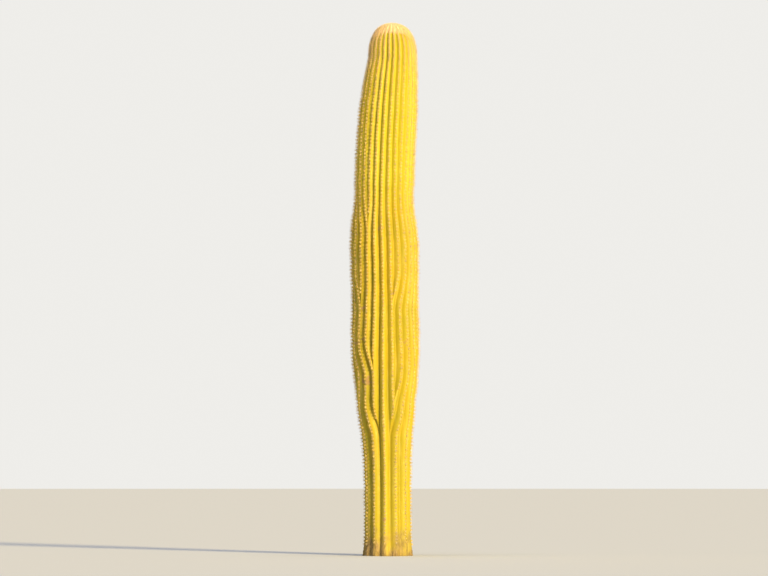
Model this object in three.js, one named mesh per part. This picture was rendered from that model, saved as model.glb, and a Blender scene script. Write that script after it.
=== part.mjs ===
// A saguaro cactus with no arms: one ribbed stem, felt on its growing tip, and a row of spines on each rib.
// Millimetres, +Z up. The viewer is on the -Y side, with +X to the right.
// The origin is on the ground, in the middle of the flat cut under the stem.
import * as THREE from "three";
import { mergeVertices } from "three/addons/utils/BufferGeometryUtils.js";

// The stem's outline: height, radius over the rib crests, and how far its middle has wandered to the right.
const STATIONS = [
  { z: 0, radius: 188, right: 0 },
  { z: 110, radius: 173, right: 0 },
  { z: 420, radius: 168, right: -2 },
  { z: 760, radius: 175, right: -6 },
  { z: 1130, radius: 214, right: -16 },
  { z: 1500, radius: 243, right: -22 },
  { z: 1870, radius: 238, right: -23 },
  { z: 2250, radius: 243, right: -27 },
  { z: 2430, radius: 229, right: -31 },
  { z: 2570, radius: 209, right: -30 },
  { z: 2760, radius: 210, right: -25 },
  { z: 3020, radius: 208, right: -14 },
  { z: 3220, radius: 206, right: -1 },
  { z: 3360, radius: 197, right: 9 },
  { z: 3500, radius: 184, right: 21 },
  { z: 3640, radius: 166, right: 33 },
];
const DOME_BASE = STATIONS.at(-1).z;
const DOME_RISE = 242;
const DOME_POWER = 2.3; // 2 would be an ellipse, more is blunter
const DOME_SHIFT = -4; // the apex, from the middle of the dome's base
const HEIGHT = DOME_BASE + DOME_RISE;
const SWELL = 0.012; // how far the stem departs from round, as a share of its radius

// The ribs, in order round the stem and anticlockwise from above, from the one that faces the viewer.
// One starts at the ground, or in the groove between its neighbours, or by splitting from the rib before it.
const RIBS = [
  { from: "ground" },
  { from: "groove", at: 840 },
  { from: "split", at: 1770 },
  { from: "split", at: 1045 },
  { from: "ground" },
  { from: "ground" },
  { from: "split", at: 1360 },
  { from: "ground" },
  { from: "groove", at: 940 },
  { from: "ground" },
  { from: "groove", at: 835 },
  { from: "ground" },
  { from: "split", at: 2190 },
  { from: "ground" },
  { from: "groove", at: 960 },
  { from: "ground" },
  { from: "split", at: 1460 },
  { from: "ground" },
  { from: "groove", at: 870 },
  { from: "ground" },
  { from: "groove", at: 1045 },
  { from: "ground" },
  { from: "ground" },
  { from: "ground" },
  { from: "split", at: 1770 },
  { from: "groove", at: 840 },
  { from: "split", at: 2340 },
  { from: "split", at: 1290 },
];
const FACING = THREE.MathUtils.degToRad(-5.5); // where the first rib stands on average, from straight ahead
const WANDER = THREE.MathUtils.degToRad(2.5); // how far the ribs turn about that on their way up
const SPREAD = 300; // height over which a new rib takes its full share of the stem
const CREST_WIDTH = 10; // the blunt edge of a rib
const CREST_SHARE = 0.3; // the most of the way to a groove that half of that edge takes
const FOOT_DEPTH = 0.28; // groove depth at the ground, as a share of the spacing of the ribs
const FULL_DEPTH = 0.5; // the same above FULL_DEPTH_HEIGHT
const FULL_DEPTH_HEIGHT = 1200;
const OPEN_GAP = 0.75; // two ribs that split have a full groove once they are this share of the spacing apart

// Rings of the faceted stem
const RING_PITCH = 105;
const DOME_RINGS = [0.22, 0.42, 0.58, 0.71, 0.82, 0.91, 0.97]; // as shares of the dome's rise

// Spine rows: a slim core along the crest that a fan of spines stands out of at every ring
const SEAT = 0.6; // clear space between the stem and what sits on it
const ROW_START = 80; // height of the lowest spines
const ROW_SHARE = 0.45; // a new rib bears spines once it has this share of its full width
const CORE_HALF_WIDTH = 3.5;
const CORE_SHARE = 0.2; // the most of the way to a groove that half of the core takes
const CORE_HEIGHT = 5;
const CORE_DROP = 0.28; // where the core is drawn in again, as a share of the way down to the ring below
const SPINE_REACH = 25; // straight out of the crest
const SIDE_REACH = 14; // to each side
const SIDE_LIFT = 5;
const SIDE_SHARE = 0.6; // the most of the way to a groove that the side spines take
const ROW_TIP = 12; // how far a row runs on past its last spines

// Felt on the growing tip
const CROWN_RING = 3; // the dome ring at its rim
const CROWN_RIM = 5;
const CROWN_THICKNESS = 14;

const FULL_TURN = 2 * Math.PI;

function plainMaterial(red, green, blue, roughness) {
  const color = new THREE.Color(red, green, blue);
  return new THREE.MeshStandardMaterial({ color, roughness, metalness: 0 });
}

const materials = {
  stem: plainMaterial(0.45, 0.41, 0.08, 0.62),
  spines: plainMaterial(0.85, 0.74, 0.44, 0.7),
  felt: plainMaterial(0.78, 0.64, 0.4, 0.95),
};

// A smooth curve through the stations, with each one's slope taken from its two neighbours.
function outline(z, key) {
  const after = Math.min(Math.max(STATIONS.findIndex((s) => s.z > z), 1), STATIONS.length - 1);
  const last = z >= DOME_BASE ? STATIONS.length - 1 : after;
  const [a, b] = [STATIONS[last - 1], STATIONS[last]];
  const slope = (i) => {
    const [p, q] = [STATIONS[Math.max(i - 1, 0)], STATIONS[Math.min(i + 1, STATIONS.length - 1)]];
    return (q[key] - p[key]) / (q.z - p.z);
  };
  const span = b.z - a.z;
  const t = THREE.MathUtils.clamp((z - a.z) / span, 0, 1);
  const ends = a[key] * (1 + 2 * t) * (1 - t) ** 2 + b[key] * t * t * (3 - 2 * t);
  const slopes = slope(last - 1) * span * t * (1 - t) ** 2 - slope(last) * span * t * t * (1 - t);
  return ends + slopes;
}

// The middle of the stem and its radius over the crests, at a height.
function section(z) {
  const up = THREE.MathUtils.clamp((z - DOME_BASE) / DOME_RISE, 0, 1);
  const round = (1 - up ** DOME_POWER) ** (1 / DOME_POWER);
  return { radius: outline(z, "radius") * round, x: outline(z, "right") + DOME_SHIFT * up * up };
}

// Slow swellings that keep the stem from being a turned shape.
function swelling(angle, z) {
  return 1 + SWELL * (0.6 * Math.sin(2 * angle + z / 700) + 0.4 * Math.sin(3 * angle - z / 430));
}

// A point of the surface: an angle from straight ahead, and a depth under the crests.
function surfacePoint(angle, depth, z) {
  const { radius, x } = section(z);
  const r = Math.max(radius * swelling(angle, z) - depth, 0);
  return new THREE.Vector3(x + r * Math.sin(angle), -r * Math.cos(angle), z);
}

// How much of its full width a rib has at a height, from 0 to 1.
function shareOf(rib, z) {
  return rib.from === "ground" ? 1 : THREE.MathUtils.smoothstep(z, rib.at, rib.at + SPREAD);
}

// The ribs that exist at a height: the angle and depth of each one's crest, and the groove after it. A rib
// that rises in a groove is as narrow at first as its share of the stem.
function ribsAt(z) {
  const shares = RIBS.map((rib) => shareOf(rib, z));
  const total = shares.reduce((sum, share) => sum + share, 0);
  const spacing = (FULL_TURN * section(z).radius) / total;
  const rise = Math.min(z / FULL_DEPTH_HEIGHT, 1);
  const fullDepth = spacing * THREE.MathUtils.lerp(FOOT_DEPTH, FULL_DEPTH, rise);
  const facing = FACING - WANDER * Math.cos((FULL_TURN * z) / HEIGHT);
  const born = [];
  let edge = -shares[0] / 2;
  shares.forEach((share, index) => {
    const near = edge;
    edge += share;
    if (share === 0) return;
    const from = RIBS[index].from;
    const start = from === "split" ? THREE.MathUtils.lerp(born.at(-1).place, near, share) : near;
    const place = start + share / 2;
    const crestDepth = from === "groove" ? fullDepth * (1 - share) : 0;
    const breadth = from === "groove" ? share : 1;
    const angle = facing + (FULL_TURN * place) / total;
    born.push({ index, from, share, place, crestDepth, breadth, angle });
  });
  born.forEach((rib, n) => {
    const next = born[(n + 1) % born.length];
    const gap = (((next.place - rib.place) % total) + total) % total;
    const opened = next.from === "split" ? THREE.MathUtils.smoothstep(gap, 0, OPEN_GAP) : 1;
    const way = rib.breadth / (rib.breadth + next.breadth);
    rib.grooveAngle = rib.angle + (FULL_TURN * gap * way) / total;
    rib.grooveDepth = fullDepth * opened;
    rib.toGroove = gap * way * spacing;
    next.fromGroove = gap * (1 - way) * spacing;
  });
  return born;
}

// The two edges of a rib's blunt crest.
function crestEdges(rib, z) {
  const radius = section(z).radius;
  const half = (way) => Math.min(CREST_WIDTH / 2, CREST_SHARE * way) / radius;
  const angles = [rib.angle - half(rib.fromGroove), rib.angle + half(rib.toGroove)];
  return angles.map((angle) => surfacePoint(angle, rib.crestDepth, z));
}

// One ring of the stem, with three points for every rib. The points of ribs that haven't started yet lie on
// the crest that they will split from, or in the groove that they will rise in.
function stemRing(z) {
  const born = ribsAt(z);
  return born.flatMap((rib, n) => {
    const nextIndex = n + 1 < born.length ? born[n + 1].index : RIBS.length;
    const waiting = RIBS.slice(rib.index + 1, nextIndex);
    const firstGroove = waiting.findIndex((other) => other.from === "groove");
    const splits = firstGroove < 0 ? waiting.length : firstGroove;
    const [left, right] = crestEdges(rib, z);
    const groove = surfacePoint(rib.grooveAngle, rib.grooveDepth, z);
    const onCrest = new Array(3 * splits).fill(right);
    const inGroove = new Array(3 * (waiting.length - splits)).fill(groove);
    return [left, right, ...onCrest, groove, ...inGroove];
  });
}

// A closed skin over rings that are listed from the bottom up. Points that coincide are joined.
function loft(rings) {
  const count = rings[0].length;
  const positions = rings.flat().flatMap((p) => [p.x, p.y, p.z]);
  const index = [];
  for (let k = 0; k + 1 < rings.length; k++) {
    for (let c = 0; c < count; c++) {
      const [a, b] = [k * count + c, k * count + ((c + 1) % count)];
      index.push(a, b, b + count, a, b + count, a + count);
    }
  }
  const skin = new THREE.BufferGeometry();
  skin.setAttribute("position", new THREE.Float32BufferAttribute(positions, 3));
  skin.setIndex(index);
  const joined = mergeVertices(skin, 1e-3);
  const kept = [];
  for (let i = 0; i < joined.index.count; i += 3) {
    const [a, b, c] = [0, 1, 2].map((corner) => joined.index.getX(i + corner));
    if (a !== b && b !== c && c !== a) kept.push(a, b, c);
  }
  joined.setIndex(kept);
  joined.computeVertexNormals();
  return joined;
}

const repeated = (point, count) => new Array(count).fill(point);

const shaftHeights = [];
const shaftRings = Math.round(DOME_BASE / RING_PITCH);
for (let k = 0; k <= shaftRings; k++) shaftHeights.push((k * DOME_BASE) / shaftRings);
const domeHeights = DOME_RINGS.map((share) => DOME_BASE + share * DOME_RISE);
const ringHeights = [...shaftHeights, ...domeHeights];
const apex = surfacePoint(0, 0, HEIGHT);

function makeStem() {
  const rings = ringHeights.map(stemRing);
  const count = rings[0].length;
  const ground = new THREE.Vector3(0, 0, 0);
  const geometry = loft([repeated(ground, count), ...rings, repeated(apex, count)]);
  return new THREE.Mesh(geometry, materials.stem);
}

// The felt pad rests on the crests of the dome, so it has the two crest points of every rib and no groove.
function makeCrown() {
  const heights = domeHeights.slice(CROWN_RING);
  const edges = heights.map((z) => ribsAt(z).flatMap((rib) => crestEdges(rib, z)));
  const top = apex.clone().setZ(apex.z + SEAT);
  const raised = (ring, thickness) => {
    const { x, radius } = section(ring[0].z);
    const slope = (section(ring[0].z - 1).radius - section(ring[0].z + 1).radius) / 2;
    return ring.map((p) => {
      const out = new THREE.Vector3((p.x - x) / radius, p.y / radius, slope).normalize();
      return p.clone().addScaledVector(out, thickness);
    });
  };
  const inside = edges.map((ring) => raised(ring, SEAT)).reverse();
  const outside = edges.map((ring, k) => {
    const rise = (k + 1) / (edges.length + 1);
    return raised(ring, THREE.MathUtils.lerp(CROWN_RIM, CROWN_THICKNESS, rise));
  });
  const count = edges[0].length;
  const crownTop = apex.clone().setZ(apex.z + CROWN_THICKNESS);
  const geometry = loft([repeated(top, count), ...inside, ...outside, repeated(crownTop, count)]);
  return new THREE.Mesh(geometry, materials.felt);
}

// Where a rib's crest stands at a height, or null below the rib's first spines.
function crestAt(index, z) {
  const rib = ribsAt(z).find((one) => one.index === index);
  if (!rib || rib.share < ROW_SHARE || z < ROW_START) return null;
  const side = new THREE.Vector3(Math.cos(rib.angle), Math.sin(rib.angle), 0);
  const room = Math.min(rib.toGroove, rib.fromGroove);
  return { point: surfacePoint(rib.angle, rib.crestDepth, z), side, room };
}

// A three-cornered section of a spine row: left, outward, right.
function rowSection(point, side, along, sideReach, sideLift, reach) {
  const out = new THREE.Vector3().crossVectors(side, along).normalize();
  const base = point.clone().addScaledVector(out, sideLift);
  return [
    base.clone().addScaledVector(side, -sideReach),
    point.clone().addScaledVector(out, reach),
    base.clone().addScaledVector(side, sideReach),
  ];
}

function makeSpineRow(index) {
  const heights = ringHeights.slice(0, shaftHeights.length + CROWN_RING);
  const crests = heights.map((z) => crestAt(index, z)).filter((crest) => crest);
  const sections = [];
  crests.forEach((crest, k) => {
    const below = crests[k - 1];
    const above = crests[k + 1];
    if (below) {
      const along = new THREE.Vector3().subVectors(crest.point, below.point);
      const point = crest.point.clone().lerp(below.point, CORE_DROP);
      const side = crest.side.clone().lerp(below.side, CORE_DROP).normalize();
      const halfWidth = Math.min(CORE_HALF_WIDTH, CORE_SHARE * Math.min(crest.room, below.room));
      sections.push(rowSection(point, side, along, halfWidth, SEAT, CORE_HEIGHT));
    }
    const along = new THREE.Vector3().subVectors((above ?? crest).point, (below ?? crest).point);
    const sideReach = Math.min(SIDE_REACH, SIDE_SHARE * crest.room);
    sections.push(rowSection(crest.point, crest.side, along, sideReach, SIDE_LIFT, SPINE_REACH));
  });
  const { point, side } = crests[0];
  const start = point.clone().addScaledVector(new THREE.Vector3(side.y, -side.x, 0), SEAT);
  const along = new THREE.Vector3().subVectors(crests.at(-1).point, crests.at(-2).point).normalize();
  const last = sections.at(-1);
  const middle = last.reduce((sum, p) => sum.add(p), new THREE.Vector3()).divideScalar(last.length);
  const tip = middle.addScaledVector(along, ROW_TIP);
  const geometry = loft([repeated(start, 3), ...sections.slice(1), repeated(tip, 3)]);
  return new THREE.Mesh(geometry, materials.spines);
}

const saguaro = new THREE.Group();
saguaro.name = "saguaro";

const stem = makeStem();
stem.name = "stem";
const crown = makeCrown();
crown.name = "crown_felt";
saguaro.add(stem, crown);

RIBS.forEach((_, index) => {
  const row = makeSpineRow(index);
  row.name = "spine_row_" + String(index + 1).padStart(2, "0");
  saguaro.add(row);
});

export default saguaro;
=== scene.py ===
"""A saguaro cactus with no arms: its waxy ribbed skin, felted areoles with clusters of spines along each rib,
and the wool on its growing tip. Metres, +Z up, with the viewer on the -Y side."""
import math
from types import SimpleNamespace

import bpy
import numpy as np
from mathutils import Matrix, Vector, noise


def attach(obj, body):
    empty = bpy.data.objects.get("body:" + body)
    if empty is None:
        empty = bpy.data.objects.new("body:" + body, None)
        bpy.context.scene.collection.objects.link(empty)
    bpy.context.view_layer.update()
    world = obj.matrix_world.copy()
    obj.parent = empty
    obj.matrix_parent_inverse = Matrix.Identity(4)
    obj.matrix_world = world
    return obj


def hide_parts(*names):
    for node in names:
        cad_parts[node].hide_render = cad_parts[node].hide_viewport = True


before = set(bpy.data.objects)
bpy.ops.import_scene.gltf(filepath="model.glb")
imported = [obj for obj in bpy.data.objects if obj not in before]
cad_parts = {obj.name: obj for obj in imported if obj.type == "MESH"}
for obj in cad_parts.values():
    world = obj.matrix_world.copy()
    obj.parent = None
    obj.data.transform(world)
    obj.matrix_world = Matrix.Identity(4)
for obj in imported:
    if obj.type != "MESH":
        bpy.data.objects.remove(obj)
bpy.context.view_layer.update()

FULL_TURN = 2 * math.pi

# The stem's outline: height, radius over the rib crests, and how far its middle has wandered to the right.
STATIONS = [
    (0.0, 0.188, 0.0),
    (0.11, 0.173, 0.0),
    (0.42, 0.168, -0.002),
    (0.76, 0.175, -0.006),
    (1.13, 0.214, -0.016),
    (1.5, 0.243, -0.022),
    (1.87, 0.238, -0.023),
    (2.25, 0.243, -0.027),
    (2.43, 0.229, -0.031),
    (2.57, 0.209, -0.03),
    (2.76, 0.21, -0.025),
    (3.02, 0.208, -0.014),
    (3.22, 0.206, -0.001),
    (3.36, 0.197, 0.009),
    (3.5, 0.184, 0.021),
    (3.64, 0.166, 0.033),
]
HEIGHTS, RADII, MIDDLES = zip(*STATIONS)
DOME_BASE = HEIGHTS[-1]
DOME_RISE = 0.242
DOME_POWER = 2.3  # 2 would be an ellipse, more is blunter
DOME_SHIFT = -0.004  # how far the apex stands to the right of the dome's foot
APEX = DOME_BASE + DOME_RISE
SWELL = 0.012  # how far the stem departs from round, as a share of its radius
SWELL_WAVES = ((0.6, 2, 0.7), (0.4, 3, -0.43))  # each one's share, count round the stem, and rise per radian
NORMAL_STEP = 0.0005  # half the height over which the outline's slope is measured
OUTLINE_SAMPLES = 1500  # up to the dome, and as many over it

# The ribs, in order round the stem and anticlockwise from above, from the one that faces the viewer.
# One starts at the ground, or in the groove between its neighbours, or by splitting from the rib before it.
RIBS = [
    ("ground", 0.0),
    ("groove", 0.84),
    ("split", 1.77),
    ("split", 1.045),
    ("ground", 0.0),
    ("ground", 0.0),
    ("split", 1.36),
    ("ground", 0.0),
    ("groove", 0.94),
    ("ground", 0.0),
    ("groove", 0.835),
    ("ground", 0.0),
    ("split", 2.19),
    ("ground", 0.0),
    ("groove", 0.96),
    ("ground", 0.0),
    ("split", 1.46),
    ("ground", 0.0),
    ("groove", 0.87),
    ("ground", 0.0),
    ("groove", 1.045),
    ("ground", 0.0),
    ("ground", 0.0),
    ("ground", 0.0),
    ("split", 1.77),
    ("groove", 0.84),
    ("split", 2.34),
    ("split", 1.29),
]
FACING = math.radians(-5.5)  # where the first rib stands on average, from straight ahead
WANDER = math.radians(2.5)  # how far the ribs turn about that on their way up
SPREAD = 0.3  # height over which a new rib takes its full share of the stem
FOOT_DEPTH = 0.28  # groove depth at the ground, as a share of the spacing of the ribs
FULL_DEPTH = 0.5  # the same above FULL_DEPTH_HEIGHT
FULL_DEPTH_HEIGHT = 1.2
OPEN_GAP = 0.75  # a groove has its full depth once its ribs are this share of the spacing apart

# Relief of the skin
ROUNDNESS = 1.7  # 1 would be a straight flank between crest and groove, more is a rounder rib
FLANK = (0.2, 0.46, 0.75)  # the columns of points between crest and groove, as shares of the way
COLUMNS_PER_RIB = 2 * len(FLANK) + 2
COLUMN_COUNT = COLUMNS_PER_RIB * len(RIBS)
SWAY = 0.0016  # how far a rib wanders from its line
SWAY_WAVES = ((0.6, 5, 0.21), (0.4, 9, -0.13))
SWAY_RADIUS = 0.1  # the sway dies away where the stem is narrower than this
SWAY_LEAST_RADIUS = 0.01  # keeps it finite at the apex
SEASON_PITCH = 0.19  # between the faint waists that a season's growth leaves
SEASON_DRIFT = 0.35  # how far they wander up and down, in pitches
SEASON_DRIFT_RISE = 0.41  # and the rise for each radian of that
SEASON_DEPTH = 0.0022
SEASON_SHARPNESS = 5
SEASON_FADE = 0.5  # they die away over this height under the apex
DENT_DEPTH = 0.0016
DENT_SIZE = 0.09
DENT_STRETCH = (1, 1, 0.6)
CORK_TOP = 0.34  # the foot is corky up to about here
CORK_DEPTH = 0.0012
CORK_SIZE = 0.016
CORK_STRETCH = (1, 1, 0.35)
DENT_NOISE, CORK_NOISE, WOOL_EDGE_NOISE, WOOL_TUFT_NOISE = 3, 7, 5, 11  # where each kind of noise is read
MOUND = 0.0014  # how far the crest rises under an areole
NOTCH = -0.0014  # and dips above one

# Areoles: the felted cushions that bear the spines
PITCH = 0.0257  # from one to the next along a rib
TIP_PITCH = 0.0138  # they stand closer on the growing tip
TIP_START = 3.2
TIP_FULL = 3.75
RINGS_PER_AREOLE = 3
ROW_START = 0.08  # height of the lowest areoles
ROW_SHARE = 0.45  # a new rib bears spines once it has this share of its full width
ROW_LEAST_ROOM = 0.0065  # a row ends where the ribs stand this close together, near the apex
AREOLE_JITTER = 0.25  # along the rib, in rings
AREOLE_REACH = 0.2  # how far to either side the slope of the crest is measured, in rings
AREOLE_SEAT = 0.6  # how high an areole stands on its mound, as a share of MOUND
AREOLE_SIZE = (0.0043, 0.0058, 0.0032)  # half its width, half its length, and its height
AREOLE_ROUND = ((1.0, -0.4), (0.72, 0.62))  # its profile, in shares of half its width and of its height
AREOLE_SIDES = 8
AREOLE_SIZES = (0.85, 1.15)  # how much the areoles differ, as shares of AREOLE_SIZE
AREOLE_UNEVEN = 0.1  # and their outlines, as a share of the size
CROWDED = 0.3  # half an areole's width is never more than this share of the spacing of the ribs

# Spines: how many to an areole, their lengths, their lift off the skin in degrees, and the radius of the root
RADIALS = SimpleNamespace(count=20, length=(0.0105, 0.017), lift=(10, 38), root=0.00052, droop=0.0)
CENTRALS = SimpleNamespace(count=7, length=(0.0165, 0.0235), lift=(42, 84), root=0.00085, droop=0.14)
BRISTLES = SimpleNamespace(count=34, length=(0.012, 0.021), lift=(28, 84), root=0.00045, droop=0.0)
SPINE_COUNTS = (0.85, 1.15)  # how much the areoles differ, as shares of the count
SPINE_RADII = (0.8, 1.2)  # how much the spines differ, as shares of the root's radius
SPINE_SCATTER = 0.35  # how far a spine stands from its even place round the areole, as a share of the spacing
ROOT_RING = 0.75  # how far from the middle of the areole it is rooted, as a share of half its width
ROOT_HEIGHT = 0.3  # and how high in the felt, as a share of its height
OFF_AXIS = (0.3, 0.1, 0.2)  # keeps a spine's cross-section from vanishing, whichever way it points
KNEE = 0.64  # where a long spine bends and its dark tip begins, as a share of its length
KNEE_SAG = 0.26  # how much of its droop it has there
KNEE_THICKNESS = 0.62  # and how much of its root's radius
SHAFT_FACES = 6  # of a spine with a knee, up to the knee
BRISTLE_START = 3.3  # bristles take over from radial spines between these heights
BRISTLE_FULL = 3.66
TIP_CENTRALS = 0.3  # the share of the central spines that is left there
TIP_LEAST_LENGTH = 0.35  # the share of a spine's length that is left where the ribs meet
TIP_LENGTH_SPACING = 0.04  # and the spacing of the ribs that adds a whole length to that
OLD_TOP = 0.8  # below this the spines are worn shorter and fewer
WORN_LENGTH = 0.35  # the shares of their length and count that they lose by the ground
WORN_COUNT = 0.4
ROWS_PER_PIECE = 7

# How the tints of the spines and the felt are dealt out: between which heights, and to what share
CREAM_SHARE = 0.6  # with the grey ones, and the rest is straw
GREY_SHARE = 0.12
GREY_START, GREY_FULL = 1.6, 0.1
OLD_GREY_SHARE = 0.62
TAN_START, TAN_FULL = 3.45, 3.75
TIP_TAN_SHARE = 0.75
FELT_GREY_START, FELT_GREY_FULL = 1.4, 0.1
FELT_GOLD_START, FELT_GOLD_FULL = 3.3, 3.7

# Wool on the growing tip, measured along the skin from the apex
WOOL_REACH = 0.15
WOOL_TONGUE = 0.05  # how much further it runs along a crest than along a groove
WOOL_EDGE = 0.016  # over which it thins out at its edge
WOOL_TOP = 0.0125  # its thickness at the apex
WOOL_RIM = 0.003  # and near its edge
WOOL_FILL = 0.6  # how far it fills the grooves
WOOL_SINK = 0.0015  # how far it goes under the skin beyond its edge
WOOL_RINGS = 74
WOOL_FIRST_RING = 0.002  # the ring nearest the apex
WOOL_RAGGED = 0.4  # how uneven the edge is, as a share of WOOL_TONGUE
WOOL_RAGGED_SIZE = 0.011
WOOL_TUFT = 0.0024
WOOL_TUFT_SIZE = 0.0075

rng = np.random.default_rng(20)


# The shape of the stem

def smooth(t):
    t = np.clip(t, 0.0, 1.0)
    return t * t * (3 - 2 * t)


def mix(a, b, t):
    return a + (b - a) * t


def outline(values, z):
    """A smooth curve through the stations, with each one's slope taken from its two neighbours."""
    last = len(HEIGHTS) - 1
    b = min(max(int(np.searchsorted(HEIGHTS, z, side="right")), 1), last)
    a = b - 1

    def slope(i):
        before, after = max(i - 1, 0), min(i + 1, last)
        return (values[after] - values[before]) / (HEIGHTS[after] - HEIGHTS[before])

    span = HEIGHTS[b] - HEIGHTS[a]
    t = min(max((z - HEIGHTS[a]) / span, 0.0), 1.0)
    ends = values[a] * (1 + 2 * t) * (1 - t) ** 2 + values[b] * t * t * (3 - 2 * t)
    slopes = slope(a) * span * t * (1 - t) ** 2 - slope(b) * span * t * t * (1 - t)
    return ends + slopes


def section(z):
    """The radius over the crests and the middle of the stem, at a height."""
    up = min(max((z - DOME_BASE) / DOME_RISE, 0.0), 1.0)
    narrowed = (1 - up**DOME_POWER) ** (1 / DOME_POWER)
    return outline(RADII, z) * narrowed, outline(MIDDLES, z) + DOME_SHIFT * up * up


def outline_normal(z):
    """How far the outline's normal points outward and upward, at a height."""
    low, high = max(z - NORMAL_STEP, 0.0), min(z + NORMAL_STEP, APEX)
    slope = (section(high)[0] - section(low)[0]) / (high - low)
    return 1 / math.hypot(1, slope), -slope / math.hypot(1, slope)


def waves(kinds, angles, z):
    """Waves round the stem that turn on their way up."""
    return sum(share * np.sin(count * angles + z / rise) for share, count, rise in kinds)


def season_waist(z):
    """How deep the waists of the seasons are at a height."""
    turn = z / SEASON_PITCH + SEASON_DRIFT * math.sin(z / SEASON_DRIFT_RISE)
    fade = min(1.0, (APEX - z) / SEASON_FADE)
    return SEASON_DEPTH * fade * (0.5 + 0.5 * math.cos(FULL_TURN * turn)) ** SEASON_SHARPNESS


def soft_noise(points, size, shift):
    """Noise from about -1 to 1 at each point."""
    offset = Vector((shift, 0, 0))
    return np.array([noise.noise(Vector(p) / size + offset) for p in points])


def skin_points(angles, depths, z, raised=0.0):
    """Points of the skin at a height, from their angles from straight ahead and depths under the crests."""
    radius, x = section(z)
    outward, upward = outline_normal(z)
    sway = SWAY * min(radius / SWAY_RADIUS, 1.0) / max(radius, SWAY_LEAST_RADIUS)
    angles = angles + sway * waves(SWAY_WAVES, angles, z)
    right, forward, level = np.sin(angles), -np.cos(angles), np.ones(angles.shape)
    directions = np.stack([outward * right, outward * forward, upward * level], -1)
    r = radius * (1 + SWELL * waves(SWELL_WAVES, angles, z))
    crests = np.stack([x + r * right, r * forward, z * level], -1)
    cork = CORK_DEPTH * float(smooth((CORK_TOP - z) / CORK_TOP))
    rough = DENT_DEPTH * soft_noise(crests * DENT_STRETCH, DENT_SIZE, DENT_NOISE)
    if cork:
        rough += cork * soft_noise(crests * CORK_STRETCH, CORK_SIZE, CORK_NOISE)
    points = crests + directions * (raised + rough - season_waist(z) - depths)[:, None]
    points[:, 2] = np.maximum(points[:, 2], 0.0) if z > 0 else 0.0
    return points


def share_of(rib, z):
    """How much of its full width a rib has at a height, from 0 to 1."""
    start, at = rib
    return 1.0 if start == "ground" else float(smooth((z - at) / SPREAD))


def ribs_at(z):
    """The ribs that exist at a height: the angle and depth of each one's crest, and the groove after it."""
    shares = [share_of(rib, z) for rib in RIBS]
    total = sum(shares)
    spacing = FULL_TURN * section(z)[0] / total
    full_depth = spacing * mix(FOOT_DEPTH, FULL_DEPTH, min(z / FULL_DEPTH_HEIGHT, 1.0))
    facing = FACING - WANDER * math.cos(FULL_TURN * z / APEX)
    born = []
    edge = -shares[0] / 2
    for index, share in enumerate(shares):
        near = edge
        edge += share
        if share == 0:
            continue
        rib = SimpleNamespace(index=index, start=RIBS[index][0], room=spacing)
        rib.place = share / 2 + (mix(born[-1].place, near, share) if rib.start == "split" else near)
        rib.depth = full_depth * (1 - share) if rib.start == "groove" else 0.0
        rib.breadth = share if rib.start == "groove" else 1.0
        rib.angle = facing + FULL_TURN * rib.place / total
        born.append(rib)
    for n, rib in enumerate(born):
        rib.after = born[(n + 1) % len(born)]
        gap = (rib.after.place - rib.place) % total
        rib.turn = FULL_TURN * gap / total
        rib.groove = rib.breadth / (rib.breadth + rib.after.breadth)
        opened = float(smooth(gap / OPEN_GAP)) if rib.after.start == "split" else 1.0
        rib.groove_depth = full_depth * opened
    return born


def ring_at(z):
    """One ring of the skin, as columns of points round the stem: angle, depth under the crests, nearest rib,
    how near it is to that rib's crest, and the column whose point it shares. The columns of ribs that haven't
    started yet lie on the crest that they will split from, or in the groove that they will rise in."""
    columns = []

    def add(angle, depth, rib, crest, times=1):
        first = len(columns)
        columns.extend([(angle, depth, rib.index, crest, first)] * times)

    born = ribs_at(z)
    for n, rib in enumerate(born):
        next_index = born[n + 1].index if n + 1 < len(born) else len(RIBS)
        waiting = [start for start, _ in RIBS[rib.index + 1:next_index]]
        splits = waiting.index("groove") if "groove" in waiting else len(waiting)
        add(rib.angle, rib.depth, rib, 1.0, 1 + COLUMNS_PER_RIB * splits)
        near, far = rib.groove * rib.turn, (1 - rib.groove) * rib.turn
        for way in FLANK:
            depth = mix(rib.depth, rib.groove_depth, way**ROUNDNESS)
            add(rib.angle + near * way, depth, rib, 1 - way)
        add(rib.angle + near, rib.groove_depth, rib, 0.0, 1 + COLUMNS_PER_RIB * (len(waiting) - splits))
        for way in reversed(FLANK):
            depth = mix(rib.after.depth, rib.groove_depth, way**ROUNDNESS)
            add(rib.angle + rib.turn - far * way, depth, rib.after, 1 - way)
    angles, depths, nearest, crests, owners = (np.array(column) for column in zip(*columns))
    return SimpleNamespace(angles=angles, depths=depths, nearest=nearest, crests=crests, owners=owners,
                           valleys=depths / max(rib.groove_depth for rib in born))


def outline_samples():
    """Heights up the stem, and how far along the outline each one is from the ground."""
    turn = np.linspace(0, math.pi / 2, OUTLINE_SAMPLES)[1:]
    dome = DOME_BASE + DOME_RISE * np.sin(turn) ** (2 / DOME_POWER)
    heights = np.concatenate([np.linspace(0, DOME_BASE, OUTLINE_SAMPLES), dome])
    radii = [section(z)[0] for z in heights]
    steps = np.hypot(np.diff(heights), np.diff(radii))
    return heights, np.concatenate([[0.0], np.cumsum(steps)])


SAMPLE_HEIGHTS, SAMPLE_LENGTHS = outline_samples()


def ring_heights():
    """Heights of the skin's rings, which divide the local pitch of the areoles along the outline."""
    drawn_in = smooth((SAMPLE_HEIGHTS[1:] - TIP_START) / (TIP_FULL - TIP_START))
    steps = np.diff(SAMPLE_LENGTHS) * RINGS_PER_AREOLE / mix(PITCH, TIP_PITCH, drawn_in)
    counts = np.concatenate([[0.0], np.cumsum(steps)])
    return np.interp(np.arange(int(counts[-1])), counts, SAMPLE_HEIGHTS)


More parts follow.
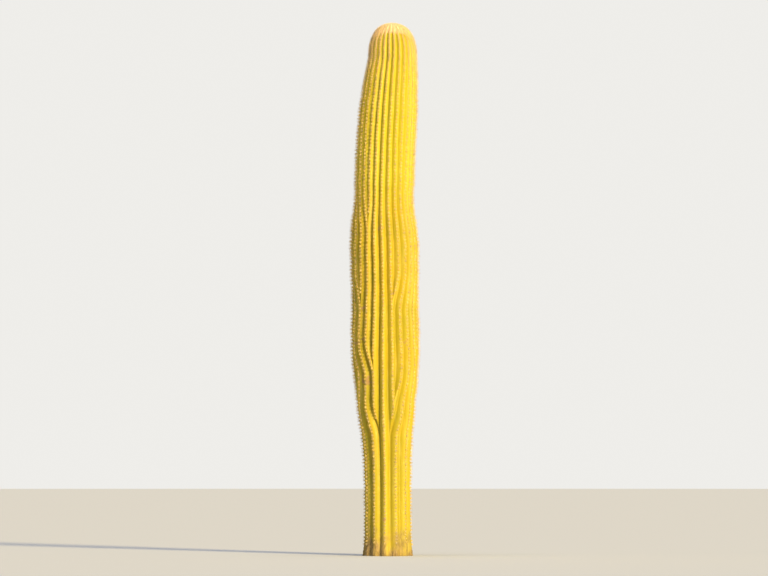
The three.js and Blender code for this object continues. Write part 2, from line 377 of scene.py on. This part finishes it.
RING_HEIGHTS = ring_heights()
ROW_PHASES = rng.integers(0, RINGS_PER_AREOLE, len(RIBS))  # the ring of each row's lowest areole


# Mesh pieces

def new_piece(name, points, triangles, materials, tints=None, smooth_faces=True):
    """A mesh object from arrays of points and triangles, with the number of a material for each triangle."""
    mesh = bpy.data.meshes.new(name)
    mesh.vertices.add(len(points))
    mesh.vertices.foreach_set("co", np.asarray(points, np.float32).ravel())
    mesh.loops.add(triangles.size)
    mesh.loops.foreach_set("vertex_index", np.asarray(triangles, np.int32).ravel())
    mesh.polygons.add(len(triangles))
    mesh.polygons.foreach_set("loop_start", np.arange(0, triangles.size, 3, dtype=np.int32))
    mesh.polygons.foreach_set("use_smooth", np.full(len(triangles), smooth_faces))
    for material in materials:
        mesh.materials.append(material)
    if tints is not None:
        mesh.polygons.foreach_set("material_index", np.asarray(tints, np.int32))
    mesh.update(calc_edges=True)
    piece = bpy.data.objects.new(name, mesh)
    bpy.context.scene.collection.objects.link(piece)
    return piece


def join_parts(parts):
    """One array of points and one of triangles, from parts that each number their own points from 0."""
    starts = np.cumsum([0] + [len(points) for points, _ in parts[:-1]])
    points = np.concatenate([points for points, _ in parts])
    return points, np.concatenate([triangles + start for start, (_, triangles) in zip(starts, parts)])


def drop_empty(ids, *others):
    """Triangles of three different points, and what goes with them."""
    kept = (ids[:, 0] != ids[:, 1]) & (ids[:, 1] != ids[:, 2]) & (ids[:, 2] != ids[:, 0])
    return [ids[kept]] + [other[kept] for other in others]


def between_rings(ids, places):
    """Two triangles for each pair of neighbouring columns and rings, and each corner's place on the map."""

    def halves(values):
        a, b, c, d = values[:-1, :-1], values[:-1, 1:], values[1:, 1:], values[1:, :-1]
        pairs = np.concatenate([np.stack([a, b, c], 2), np.stack([a, c, d], 2)])
        return pairs.reshape(-1, 3, *values.shape[2:])

    return halves(ids), halves(places)


def make_skin(material):
    """The ribbed skin, closed by the flat cut at the ground and by the apex."""
    rings, points, valleys = [], [], []
    for k, z in enumerate(RING_HEIGHTS):
        ring = ring_at(z)
        step = (k - ROW_PHASES[ring.nearest]) % RINGS_PER_AREOLE
        on_crest = smooth(2 * ring.crests - 1)
        raised = on_crest * np.choose(step, [MOUND, NOTCH, 0.0])
        points.append(skin_points(ring.angles, ring.depths, z, raised))
        valleys.append(ring.valleys)
        rings.append(k * COLUMN_COUNT + ring.owners)
    foot_middle = len(rings) * COLUMN_COUNT
    apex = foot_middle + 1
    top = section(APEX)[1]
    points = np.concatenate(points + [[[0, 0, 0], [top, 0, APEX]]])
    valleys = np.concatenate(valleys + [[1, 0]])
    rings = [np.full(COLUMN_COUNT, foot_middle)] + rings + [np.full(COLUMN_COUNT, apex)]
    ids = np.column_stack([rings, np.array(rings)[:, 0]])
    across, up = np.meshgrid(np.linspace(0, 1, COLUMN_COUNT + 1), np.linspace(0, 1, len(rings)))
    triangles, corners = drop_empty(*between_rings(ids, np.stack([across, up], -1)))
    used, triangles = np.unique(triangles, return_inverse=True)
    skin = new_piece("stem_skin", points[used], triangles.reshape(-1, 3), [material])
    # the valley attribute, each point's depth under the crests, drives the painted shade in the grooves and
    # the painted highlight on the crests
    attribute = skin.data.attributes.new("valley", "FLOAT", "POINT")
    attribute.data.foreach_set("value", valleys[used].astype(np.float32))
    skin.data.uv_layers.new(name="OFBake").uv.foreach_set("vector", corners.astype(np.float32).ravel())
    return skin


# Areoles and spines

def crest_at(index, z):
    """The crest of a rib at a height: its point, its angle, and the spacing of the ribs there."""
    rib = next(one for one in ribs_at(z) if one.index == index)
    angle = np.array([rib.angle])
    point = skin_points(angle, np.array([rib.depth]), z, MOUND * AREOLE_SEAT)[0]
    return SimpleNamespace(point=point, angle=rib.angle, room=rib.room)


def unit(vectors):
    return vectors / np.linalg.norm(vectors, axis=-1, keepdims=True)


def make_areoles(index):
    """The areoles of one rib: where each is, which way is outward, sideways and along the rib, its height,
    and the spacing of the ribs there."""
    found = []
    ring_numbers = np.arange(len(RING_HEIGHTS))
    for k in range(ROW_PHASES[index], len(RING_HEIGHTS) - 1, RINGS_PER_AREOLE):
        at = k + rng.uniform(-AREOLE_JITTER, AREOLE_JITTER)
        low, z, high = np.interp([at - AREOLE_REACH, at, at + AREOLE_REACH], ring_numbers, RING_HEIGHTS)
        if z < ROW_START or share_of(RIBS[index], low) < ROW_SHARE:
            continue
        crest = crest_at(index, z)
        if crest.room < ROW_LEAST_ROOM:
            break
        along = unit(crest_at(index, high).point - crest_at(index, low).point)
        side = np.array([math.cos(crest.angle), math.sin(crest.angle), 0.0])
        outward = unit(np.cross(side, along))
        found.append((crest.point, outward, np.cross(along, outward), along, z, crest.room))
    points, outward, side, along, z, room = (np.array(values) for values in zip(*found))
    return SimpleNamespace(points=points, outward=outward, side=side, along=along, z=z, room=room)


def joined(rows):
    """The areoles of several rows as one."""
    return SimpleNamespace(**{key: np.concatenate([vars(row)[key] for row in rows]) for key in vars(rows[0])})


def placed(areoles, across, up, out):
    """Points round each areole, from how far sideways, up along the rib and outward they are."""
    return (areoles.points[:, None] + across[..., None] * areoles.side[:, None]
            + up[..., None] * areoles.along[:, None] + out[..., None] * areoles.outward[:, None])


def repeat_pattern(points, pattern):
    """Many small meshes of one pattern of triangles, as one array of points and one of triangles."""
    count, size = points.shape[:2]
    triangles = pattern[None] + size * np.arange(count)[:, None, None]
    return points.reshape(-1, 3), triangles.reshape(-1, 3)


def narrowing(areoles):
    """How much narrower each areole is where the ribs crowd together."""
    return np.minimum(1.0, CROWDED * areoles.room / AREOLE_SIZE[0])


def cushions(areoles):
    """A low felted dome for each areole."""
    count = len(areoles.z)
    width, length, height = AREOLE_SIZE
    size = rng.uniform(*AREOLE_SIZES, count) * narrowing(areoles)
    turns = np.arange(AREOLE_SIDES) / AREOLE_SIDES * FULL_TURN
    rings = []
    for share, lift in AREOLE_ROUND:
        uneven = 1 + rng.uniform(-AREOLE_UNEVEN, AREOLE_UNEVEN, (count, AREOLE_SIDES))
        across = (width * size * share)[:, None] * np.cos(turns) * uneven
        up = (length * size * share)[:, None] * np.sin(turns) * uneven
        out = np.full((count, AREOLE_SIDES), height * lift)
        rings.append(placed(areoles, across, up, out))
    top = placed(areoles, np.zeros((count, 1)), np.zeros((count, 1)), np.full((count, 1), height))
    points = np.concatenate(rings + [top], axis=1)
    low = np.arange(AREOLE_SIDES)
    low_next = (low + 1) % AREOLE_SIDES
    high, high_next = low + AREOLE_SIDES, low_next + AREOLE_SIDES
    peak = np.full(AREOLE_SIDES, 2 * AREOLE_SIDES)
    pattern = np.concatenate([np.stack([low, low_next, high_next], 1), np.stack([low, high_next, high], 1),
                              np.stack([high, high_next, peak], 1)])
    return repeat_pattern(points, pattern)


def make_felt(name, areoles):
    """The areoles' felt, in a tint for each."""
    points, triangles = cushions(areoles)
    draw = rng.uniform(0, 1, len(areoles.z))
    old = smooth((FELT_GREY_START - areoles.z) / (FELT_GREY_START - FELT_GREY_FULL))
    young = smooth((areoles.z - FELT_GOLD_START) / (FELT_GOLD_FULL - FELT_GOLD_START))
    tint = np.where(draw < old, FELT_GREY, FELT_FAWN)
    tint = np.where(draw < young, FELT_GOLD, tint)
    per_areole = len(triangles) // len(areoles.z)
    return new_piece(name, points, triangles, FELT_TINTS, np.repeat(tint, per_areole))


def cones(roots, directions, lengths, radii, droop=0.0):
    """Three-sided spines. With a droop each has a knee, past which it bends down."""
    across = unit(np.cross(directions, directions[:, [1, 2, 0]] + OFF_AXIS))
    other = np.cross(directions, across)
    turns = np.arange(3) / 3 * FULL_TURN
    spokes = across[:, None] * np.cos(turns)[:, None] + other[:, None] * np.sin(turns)[:, None]
    reach = directions * lengths[:, None]
    base = roots[:, None] + spokes * radii[:, None, None]
    if not droop:
        points = np.concatenate([base, (roots + reach)[:, None]], axis=1)
        return repeat_pattern(points, np.array([(0, 1, 3), (1, 2, 3), (2, 0, 3)]))
    sag = lengths[:, None] * droop * np.array([0, 0, -1.0])
    bend = roots + KNEE * reach + KNEE_SAG * sag
    knee = bend[:, None] + spokes * KNEE_THICKNESS * radii[:, None, None]
    tip = (roots + reach + sag)[:, None]
    points = np.concatenate([base, knee, tip], axis=1)
    shaft = [(0, 1, 4), (1, 2, 5), (2, 0, 3), (0, 4, 3), (1, 5, 4), (2, 3, 5)]
    return repeat_pattern(points, np.array(shaft + [(3, 4, 6), (4, 5, 6), (5, 3, 6)]))


def spines_of(areoles, family, counts, scale):
    """The spines of one family on every areole, and the number of the areole that each one stands on."""
    owner = np.repeat(np.arange(len(areoles.z)), counts)
    order = np.concatenate([np.arange(count) for count in counts])
    number = len(owner)
    scatter = rng.uniform(-SPINE_SCATTER, SPINE_SCATTER, number)
    turn = FULL_TURN * (order + scatter) / np.maximum(counts[owner], 1)
    turn += rng.uniform(0, FULL_TURN, len(areoles.z))[owner]
    lift = np.radians(rng.uniform(*family.lift, number))
    flat = np.cos(turn)[:, None] * areoles.side[owner] + np.sin(turn)[:, None] * areoles.along[owner]
    directions = unit(np.cos(lift)[:, None] * flat + np.sin(lift)[:, None] * areoles.outward[owner])
    width, length, height = AREOLE_SIZE
    ring = ROOT_RING * np.cos(lift) * narrowing(areoles)[owner]
    roots = (areoles.points[owner] + (width * ring * np.cos(turn))[:, None] * areoles.side[owner]
             + (length * ring * np.sin(turn))[:, None] * areoles.along[owner]
             + (ROOT_HEIGHT * height) * areoles.outward[owner])
    lengths = rng.uniform(*family.length, number) * scale[owner]
    radii = family.root * rng.uniform(*SPINE_RADII, number)
    return cones(roots, directions, lengths, radii, family.droop), owner


def deal_tints(areoles):
    """A tint for each areole's spines: greyer and more worn low down, tan on the growing tip."""
    draw = rng.uniform(0, 1, len(areoles.z))
    old = smooth((GREY_START - areoles.z) / (GREY_START - GREY_FULL))
    young = smooth((areoles.z - TAN_START) / (TAN_FULL - TAN_START))
    tint = np.where(draw < CREAM_SHARE, CREAM, STRAW)
    tint = np.where(draw < mix(GREY_SHARE, OLD_GREY_SHARE, old), GREY, tint)
    return np.where(draw > 1 - TIP_TAN_SHARE * young, TAN, tint)


def make_spines(name, areoles):
    """The spines of some rows in one piece, with a tint for each areole's and dark tips on the long ones."""
    worn = smooth((OLD_TOP - areoles.z) / OLD_TOP)
    young = smooth((areoles.z - BRISTLE_START) / (BRISTLE_FULL - BRISTLE_START))
    close = np.minimum(1.0, TIP_LEAST_LENGTH + areoles.room / TIP_LENGTH_SPACING)
    scale = (1 - WORN_LENGTH * worn) * mix(1.0, close, young)
    shares = rng.uniform(*SPINE_COUNTS, len(areoles.z)) * (1 - WORN_COUNT * worn)
    tints = deal_tints(areoles)
    families = ((RADIALS, 1 - young), (CENTRALS, mix(1.0, TIP_CENTRALS, young)), (BRISTLES, young))
    parts, colours = [], []
    for family, presence in families:
        counts = np.round(family.count * shares * presence).astype(int)
        part, owner = spines_of(areoles, family, counts, scale)
        per_spine = len(part[1]) // len(owner)
        colour = np.repeat(tints[owner], per_spine).reshape(-1, per_spine)
        if family.droop:
            colour[:, SHAFT_FACES:] = DARK_TIP
        parts.append(part)
        colours.append(colour.ravel())
    points, triangles = join_parts(parts)
    return new_piece(name, points, triangles, SPINE_TINTS, np.concatenate(colours), smooth_faces=False)


# Wool

def make_wool(material):
    """The wool that covers the growing tip, with a ragged edge that runs down each crest."""
    farthest = WOOL_REACH + WOOL_TONGUE + WOOL_EDGE
    distances = np.linspace(WOOL_FIRST_RING, farthest, WOOL_RINGS)[::-1]
    heights = np.interp(SAMPLE_LENGTHS[-1] - distances, SAMPLE_LENGTHS, SAMPLE_HEIGHTS)
    rings, points = [], []
    for k, (distance, z) in enumerate(zip(distances, heights)):
        ring = ring_at(z)
        bare = skin_points(ring.angles, ring.depths, z)
        ragged = WOOL_RAGGED * soft_noise(bare, WOOL_RAGGED_SIZE, WOOL_EDGE_NOISE) * WOOL_TONGUE
        edge = WOOL_REACH + WOOL_TONGUE * ring.crests**2 + ragged
        cover = smooth((edge - distance) / WOOL_EDGE)
        thick = mix(WOOL_TOP, WOOL_RIM, smooth(distance / WOOL_REACH))
        tufts = WOOL_TUFT * soft_noise(bare, WOOL_TUFT_SIZE, WOOL_TUFT_NOISE)
        raised = mix(-WOOL_SINK, thick + tufts + WOOL_FILL * ring.depths, cover)
        points.append(skin_points(ring.angles, ring.depths, z, raised))
        rings.append(k * COLUMN_COUNT + ring.owners)
    top = len(rings) * COLUMN_COUNT
    points = np.concatenate(points + [[[section(APEX)[1], 0, APEX + WOOL_TOP]]])
    rings.append(np.full(COLUMN_COUNT, top))
    ids = np.column_stack([rings, np.array(rings)[:, 0]])
    (triangles,) = drop_empty(between_rings(ids, np.zeros((*ids.shape, 2)))[0])
    used, triangles = np.unique(triangles, return_inverse=True)
    return new_piece("tip_wool", points[used], triangles.reshape(-1, 3), [material])


# Materials

class Shading:
    """A material's nodes, added and linked one by one."""

    def __init__(self, name, roughness, sheen=0.0):
        self.material = bpy.data.materials.new(name)
        self.material.use_nodes = True
        self.tree = self.material.node_tree
        self.shader = self.tree.nodes["Principled BSDF"]
        self.shader.inputs["Roughness"].default_value = roughness
        self.shader.inputs["Sheen Weight"].default_value = sheen
        self.place = self.add("ShaderNodeTexCoord").outputs["Object"]

    def add(self, kind, **settings):
        node = self.tree.nodes.new(kind)
        for key, value in settings.items():
            setattr(node, key, value)
        return node

    def plug(self, value, socket):
        if isinstance(value, bpy.types.NodeSocket):
            self.tree.links.new(value, socket)
        elif isinstance(value, tuple):
            socket.default_value = (*value, 1.0)
        else:
            socket.default_value = value

    def attribute(self, name):
        return self.add("ShaderNodeAttribute", attribute_name=name).outputs["Fac"]

    def height_scaled(self, by):
        """The place with its height scaled: less than 1 draws a pattern out upward."""
        node = self.add("ShaderNodeMapping")
        node.inputs["Scale"].default_value = (1, 1, by)
        self.plug(self.place, node.inputs["Vector"])
        return node.outputs["Vector"]

    def noise(self, scale, detail, place=None, roughness=0.55):
        node = self.add("ShaderNodeTexNoise")
        self.plug(place or self.place, node.inputs["Vector"])
        node.inputs["Scale"].default_value = scale
        node.inputs["Detail"].default_value = detail
        node.inputs["Roughness"].default_value = roughness
        return node.outputs["Fac"]

    def height(self):
        node = self.add("ShaderNodeSeparateXYZ")
        self.plug(self.place, node.inputs[0])
        return node.outputs["Z"]

    def ramp(self, value, start, end, low=0.0, high=1.0):
        """A value carried smoothly from low to high as it goes from start to end."""
        node = self.add("ShaderNodeMapRange", interpolation_type="SMOOTHSTEP")
        for socket, setting in zip(node.inputs, (value, start, end, low, high)):
            self.plug(setting, socket)
        return node.outputs["Result"]

    def math(self, operation, a, b):
        node = self.add("ShaderNodeMath", operation=operation)
        self.plug(a, node.inputs[0])
        self.plug(b, node.inputs[1])
        return node.outputs[0]

    def blend(self, factor, a, b):
        node = self.add("ShaderNodeMix", data_type="RGBA")
        self.plug(factor, node.inputs["Factor"])
        self.plug(a, node.inputs[6])
        self.plug(b, node.inputs[7])
        return node.outputs[2]

    def bump(self, height, distance, strength, below=None):
        node = self.add("ShaderNodeBump")
        node.inputs["Strength"].default_value = strength
        node.inputs["Distance"].default_value = distance
        self.plug(height, node.inputs["Height"])
        if below is not None:
            self.plug(below, node.inputs["Normal"])
        return node.outputs["Normal"]

    def finish(self, colour, roughness=None, normal=None):
        self.plug(colour, self.shader.inputs["Base Color"])
        if roughness is not None:
            self.plug(roughness, self.shader.inputs["Roughness"])
        if normal is not None:
            self.plug(normal, self.shader.inputs["Normal"])
        return self.material


# Painted light: the skin tints are lighter and yellower than a living saguaro's grey-green, and carry part of
# a golden sunlight in their colour.
SKIN_FLANK = (0.44, 0.39, 0.02)
# painted highlight: the lighter tint laid along the crests
SKIN_CREST_PAINTED_HIGHLIGHT = (0.56, 0.48, 0.07)
# painted shade: the darker tint laid in the grooves
SKIN_GROOVE_PAINTED_SHADE = (0.39, 0.34, 0.015)
SKIN_YELLOW = (0.54, 0.41, 0.015)
SKIN_GREEN = (0.34, 0.34, 0.02)
SKIN_YOUNG = (0.56, 0.53, 0.03)
SKIN_BLOOM = (0.52, 0.49, 0.12)
SKIN_CORK = (0.38, 0.29, 0.16)
SKIN_OLD_CORK = (0.22, 0.16, 0.09)
SKIN_SCAR = (0.42, 0.29, 0.13)
YOUNG_START, YOUNG_FULL = 2.4, 2.8  # the skin gets greener and brighter between these heights
BARK_START, BARK_FULL = CORK_TOP + 0.2, CORK_TOP - 0.08  # and cork covers it between these, with noise added


def waxy_colour(s, height):
    """The skin's colour above the cork, as layers: painted shade that darkens the grooves, a painted
    highlight that lightens the crests, and tints of patches and streaks.
    """
    valley = s.attribute("valley")
    patches = s.noise(scale=2.4, detail=3)
    greens = s.noise(scale=5.5, detail=4, place=s.height_scaled(0.6))
    streaks = s.noise(scale=34, detail=4, place=s.height_scaled(0.1))
    layers = (
        # painted shade: darker with the depth of the groove
        (s.ramp(valley, start=0.25, end=1.0), SKIN_GROOVE_PAINTED_SHADE),
        # painted highlight: lighter towards the crest
        (s.ramp(valley, start=0.16, end=0.0, high=0.8), SKIN_CREST_PAINTED_HIGHLIGHT),
        (s.ramp(patches, start=0.42, end=0.66, high=0.55), SKIN_YELLOW),
        (s.ramp(greens, start=0.5, end=0.7, high=0.6), SKIN_GREEN),
        (s.ramp(height, start=YOUNG_START, end=YOUNG_FULL, high=0.7), SKIN_YOUNG),
        (s.ramp(streaks, start=0.5, end=0.72, high=0.45), SKIN_BLOOM),
    )
    colour = SKIN_FLANK
    for cover, tint in layers:
        colour = s.blend(cover, colour, tint)
    return colour


def skin_material():
    """Waxy skin with a few scars, corky and fissured at the foot."""
    s = Shading("waxy_skin", roughness=0.5)
    s.shader.inputs["Specular IOR Level"].default_value = 0.35
    height = s.height()
    mottle = s.noise(scale=26, detail=5)
    spots = s.ramp(s.noise(scale=7.5, detail=2), start=0.66, end=0.72)
    scars = s.math("MULTIPLY", spots, s.ramp(mottle, start=0.45, end=0.58))
    uneven = s.math("MULTIPLY", s.noise(scale=19, detail=5, place=s.height_scaled(0.5)), 0.6)
    cork = s.ramp(s.math("ADD", height, uneven), start=BARK_START, end=BARK_FULL)
    furrows = s.noise(scale=85, detail=6, place=s.height_scaled(0.22), roughness=0.7)
    bark = s.blend(s.ramp(furrows, start=0.4, end=0.62), SKIN_OLD_CORK, SKIN_CORK)

    colour = s.blend(scars, waxy_colour(s, height), SKIN_SCAR)
    colour = s.blend(s.math("MULTIPLY", cork, 0.92), colour, bark)
    waxy = s.ramp(mottle, start=0.3, end=0.7, low=0.4, high=0.58)
    dull = s.math("MULTIPLY", s.math("MAXIMUM", cork, scars), 0.88)

    pores = s.bump(s.noise(scale=330, detail=4), distance=0.0006, strength=0.35)
    creases = s.noise(scale=95, detail=3, place=s.height_scaled(2.6))
    wrinkles = s.bump(creases, distance=0.0016, strength=0.3, below=pores)
    fissures = s.math("MULTIPLY", s.ramp(furrows, start=0.35, end=0.6), cork)
    normal = s.bump(fissures, distance=0.003, strength=0.8, below=wrinkles)
    return s.finish(colour, s.math("MAXIMUM", waxy, dull), normal)


WOOL_HOLLOW_PAINTED_SHADE = (0.58, 0.42, 0.26)
WOOL_TAN = (0.88, 0.74, 0.53)
WOOL_PALE = (0.95, 0.87, 0.70)


def wool_material():
    """Felted wool: tan, with paler tufts and painted shade that darkens the hollows between them."""
    s = Shading("tip_wool", roughness=0.95, sheen=0.3)
    fibres = s.noise(scale=420, detail=3, place=s.height_scaled(0.4))
    tufts = s.noise(scale=120, detail=4)
    # painted shade: the low places of the tufts' bump are darker
    colour = s.blend(s.ramp(tufts, start=0.35, end=0.65), WOOL_HOLLOW_PAINTED_SHADE, WOOL_TAN)
    colour = s.blend(s.ramp(fibres, start=0.35, end=0.7, high=0.5), colour, WOOL_PALE)
    tufted = s.bump(tufts, distance=0.003, strength=0.6)
    return s.finish(colour, normal=s.bump(fibres, distance=0.0012, strength=0.6, below=tufted))


def plain_material(name, colour, roughness, sheen=0.0):
    """A material of one colour."""
    return Shading(name, roughness, sheen).finish(colour)


CREAM, STRAW, GREY, TAN, DARK_TIP = range(5)
SPINE_TINTS = [
    plain_material("spine_cream", (0.93, 0.79, 0.35), roughness=0.6),
    plain_material("spine_straw", (0.88, 0.70, 0.24), roughness=0.6),
    plain_material("spine_grey", (0.66, 0.57, 0.33), roughness=0.75),
    plain_material("spine_tan", (0.88, 0.71, 0.45), roughness=0.6),
    plain_material("spine_dark_tip", (0.56, 0.37, 0.13), roughness=0.55),
]
FELT_FAWN, FELT_GREY, FELT_GOLD = range(3)
FELT_TINTS = [
    plain_material("felt_fawn", (0.60, 0.47, 0.28), roughness=0.95, sheen=0.3),
    plain_material("felt_grey", (0.46, 0.41, 0.32), roughness=0.95, sheen=0.3),
    plain_material("felt_gold", (0.76, 0.60, 0.35), roughness=0.95, sheen=0.3),
]


# Stage, camera and light

CAMERA_DISTANCE = 28.0
EYE_HEIGHT = 0.6
AIM = Vector((-0.03, 0.0, 1.95))
FRAME_HEIGHT = 4.2  # of what the camera sees at the cactus
IMAGE_SHAPE = 768 / 576
SENSOR_WIDTH = 36.0
VIEW_RANGE = 400  # how far the camera sees
FLOOR_RADIUS = 120
FLOOR_SIDES = 64
FLOOR_COLOUR = (0.66, 0.74, 0.9)


def make_camera():
    """A camera at the height of a viewer's eyes, who looks up a little."""
    camera = bpy.data.objects.new("camera", bpy.data.cameras.new("camera"))
    bpy.context.scene.collection.objects.link(camera)
    camera.location = (AIM.x, -CAMERA_DISTANCE, EYE_HEIGHT)
    camera.rotation_euler = (AIM - camera.location).to_track_quat("-Z", "Y").to_euler()
    camera.data.sensor_width = SENSOR_WIDTH
    camera.data.lens = SENSOR_WIDTH * CAMERA_DISTANCE / (FRAME_HEIGHT * IMAGE_SHAPE)
    camera.data.clip_end = VIEW_RANGE
    bpy.context.scene.camera = camera


def make_sun(name, azimuth, elevation, softness, strength, colour):
    """A distant soft light. Azimuth 0 is from the viewer, and it grows towards the right."""
    light = bpy.data.lights.new(name, "SUN")
    light.energy = strength
    light.color = colour
    light.angle = math.radians(softness)
    sun = bpy.data.objects.new(name, light)
    a, e = math.radians(azimuth), math.radians(elevation)
    towards = Vector((math.sin(a) * math.cos(e), -math.cos(a) * math.cos(e), math.sin(e)))
    sun.rotation_euler = towards.to_track_quat("Z", "Y").to_euler()
    bpy.context.scene.collection.objects.link(sun)


def make_world(seen, lighting, strength):
    """A pale backdrop, and a softer light from all round."""
    world = bpy.data.worlds.new("studio")
    bpy.context.scene.world = world
    world.use_nodes = True
    nodes, links = world.node_tree.nodes, world.node_tree.links
    surround = nodes["Background"]
    surround.inputs["Color"].default_value = (*lighting, 1)
    surround.inputs["Strength"].default_value = strength
    backdrop = nodes.new("ShaderNodeBackground")
    backdrop.inputs["Color"].default_value = (*seen, 1)
    choice = nodes.new("ShaderNodeMixShader")
    rays = nodes.new("ShaderNodeLightPath")
    links.new(rays.outputs["Is Camera Ray"], choice.inputs["Fac"])
    links.new(surround.outputs[0], choice.inputs[1])
    links.new(backdrop.outputs[0], choice.inputs[2])
    links.new(choice.outputs[0], nodes["World Output"].inputs["Surface"])


def make_floor():
    """A plain round floor that reaches the horizon."""
    mesh = bpy.data.meshes.new("floor")
    turns = np.arange(FLOOR_SIDES) / FLOOR_SIDES * FULL_TURN
    rim = [(FLOOR_RADIUS * math.cos(turn), FLOOR_RADIUS * math.sin(turn), 0) for turn in turns]
    mesh.from_pydata(rim, [], [range(FLOOR_SIDES)])
    mesh.materials.append(plain_material("pale_floor", FLOOR_COLOUR, roughness=0.9))
    floor = bpy.data.objects.new("floor", mesh)
    bpy.context.scene.collection.objects.link(floor)


def keep(piece, slot, *nodes):
    """A piece rides on the plant and stands for some nodes, which it hides. The slot, a finish of the record,
    is not used.
    """
    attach(piece, "root")
    if nodes:
        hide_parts(*nodes)


bpy.context.scene.view_settings.view_transform = "Standard"
make_camera()
make_sun("key", azimuth=35, elevation=17, softness=8, strength=6.0, colour=(1.0, 0.72, 0.3))
make_sun("overhead", azimuth=0, elevation=88, softness=40, strength=1.4, colour=(1.0, 0.98, 0.94))
make_sun("fill", azimuth=-65, elevation=14, softness=20, strength=0.45, colour=(1.0, 0.66, 0.5))
make_world(seen=(0.86, 0.85, 0.82), lighting=(1.0, 0.85, 0.65), strength=0.1)
make_floor()

keep(make_skin(skin_material()), "stem_skin", "stem")
keep(make_wool(wool_material()), "felt", "crown_felt")
rows = [make_areoles(index) for index in range(len(RIBS))]
for first in range(0, len(RIBS), ROWS_PER_PIECE):
    numbers = range(first + 1, first + 1 + ROWS_PER_PIECE)
    areoles = joined(rows[first:first + ROWS_PER_PIECE])
    label = f"{numbers[0]:02d}_{numbers[-1]:02d}"
    keep(make_felt("areoles_" + label, areoles), "felt")
    spines = make_spines("spines_" + label, areoles)
    keep(spines, "spines", *[f"spine_row_{number:02d}" for number in numbers])
